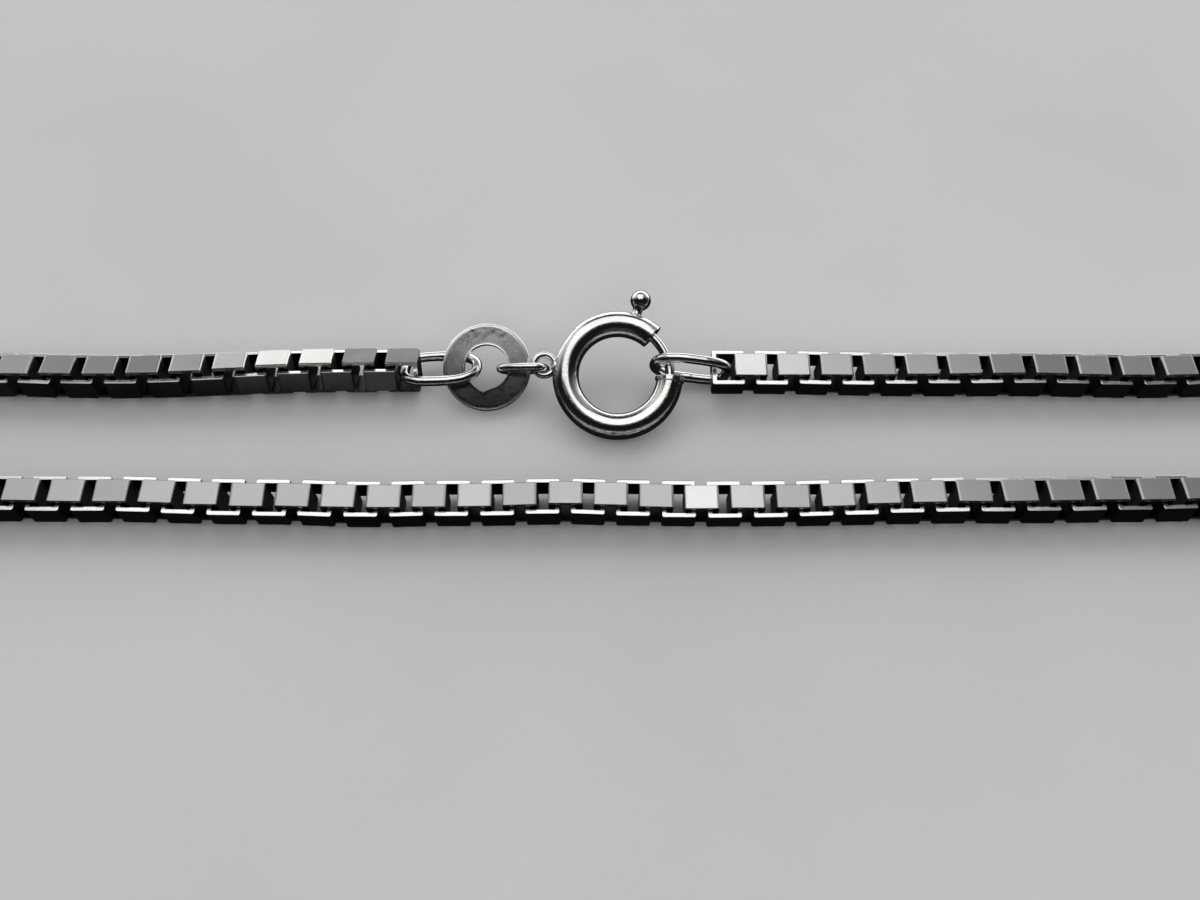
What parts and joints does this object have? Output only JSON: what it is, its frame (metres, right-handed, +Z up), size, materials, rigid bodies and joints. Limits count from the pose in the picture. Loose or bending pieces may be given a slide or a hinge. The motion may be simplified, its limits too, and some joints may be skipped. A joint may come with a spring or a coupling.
{
  "type": "box chain necklace with spring ring clasp",
  "caption": "Silver Venetian box chain necklace lying as a closed loop, fastened by a spring ring clasp with small oval rings and a plain flat washer tag.",
  "frame": {"origin": "middle of the closed loop on the surface that it lies on", "axes": "+X along the two straight strands towards the chain's end that the bolt holds, +Y from the plain strand to the strand with the clasp, +Z up from the surface"},
  "size_m": [0.189, 0.0466, 0.0033],
  "materials": {
    "polished_silver": "polished, finely scratched",
    "satin_silver": "satin flats with bright edges",
    "pitted_silver": "matt, pitted and slightly tarnished"
  },
  "bodies": {
    "necklace": {"clasp_body": "polished_silver", "tag_ring": "pitted_silver", "clasp_ring": "polished_silver", "end_ring_left": "polished_silver", "end_ring_right": "polished_silver", "chain_front": "satin_silver", "chain_ends": "satin_silver"},
    "bolt": {"clasp_bolt": "polished_silver"}
  },
  "joints": [
    {"name": "bolt_hinge", "type": "hinge", "parent": "necklace", "child": "bolt", "pos_m": [0, 0.00277, 0.00151], "axis": [0, -0.3584, 0.9336], "range_deg": [0, 57], "stiffness_Nm_per_rad": 0.00002, "springref_deg": -20.05}
  ]
}
